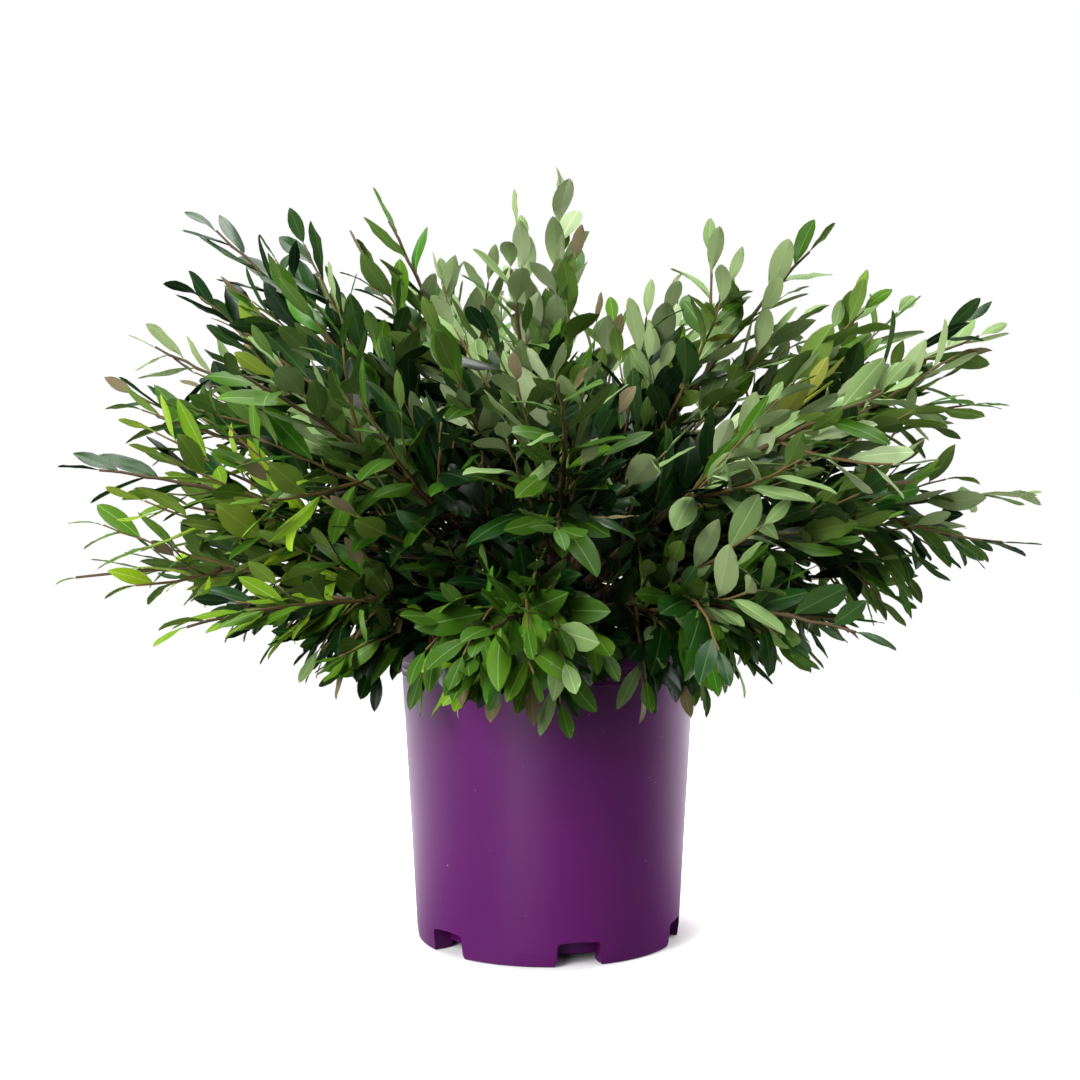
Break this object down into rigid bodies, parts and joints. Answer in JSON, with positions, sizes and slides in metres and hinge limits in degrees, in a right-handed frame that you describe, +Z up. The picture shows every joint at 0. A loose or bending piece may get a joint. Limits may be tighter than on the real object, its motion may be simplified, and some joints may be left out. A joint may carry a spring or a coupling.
{
  "type": "potted distylium shrub",
  "caption": "Broad evergreen shrub with arching boughs and small oval leaves, filling a round tapered nursery pot that stands on a notched foot.",
  "frame": {"origin": "centre of the pot's underside, on the surface it stands on", "axes": "+Z up along the pot's axis, +X to the right in the picture, along the crown's longest spread, -Y towards the camera"},
  "size_m": [0.7835, 0.5785, 0.5784],
  "materials": {
    "pot_plastic": "satin plum-purple moulded plastic",
    "potting_mix": "dark, rough bark-based potting mix",
    "bark": "matte grey-brown bark",
    "leaf": "leathery green leaves, from glossy dark green to matte grey-green"
  },
  "bodies": {
    "root": {"bough_high_1": "bark", "bough_high_2": "bark", "bough_high_3": "bark", "bough_high_4": "bark", "bough_high_5": "bark", "bough_low_1": "bark", "bough_low_2": "bark", "bough_low_3": "bark", "bough_low_4": "bark", "bough_low_5": "bark", "bough_low_6": "bark", "bough_low_7": "bark", "bough_low_8": "bark", "bough_mid_1": "bark", "bough_mid_2": "bark", "bough_mid_3": "bark", "bough_mid_4": "bark", "bough_mid_5": "bark", "bough_mid_6": "bark", "bough_mid_7": "bark", "bough_mid_8": "bark", "bough_top_1": "bark", "bough_top_2": "bark", "foliage_high_1": "leaf", "foliage_high_2": "leaf", "foliage_high_3": "leaf", "foliage_high_4": "leaf", "foliage_high_5": "leaf", "foliage_low_1": "leaf", "foliage_low_2": "leaf", "foliage_low_3": "leaf", "foliage_low_4": "leaf", "foliage_low_5": "leaf", "foliage_low_6": "leaf", "foliage_low_7": "leaf", "foliage_low_8": "leaf", "foliage_mid_1": "leaf", "foliage_mid_2": "leaf", "foliage_mid_3": "leaf", "foliage_mid_4": "leaf", "foliage_mid_5": "leaf", "foliage_mid_6": "leaf", "foliage_mid_7": "leaf", "foliage_mid_8": "leaf", "foliage_top_1": "leaf", "foliage_top_2": "leaf", "pot": "pot_plastic", "potting_mix": "potting_mix", "trunk": "bark"}
  },
  "joints": []
}
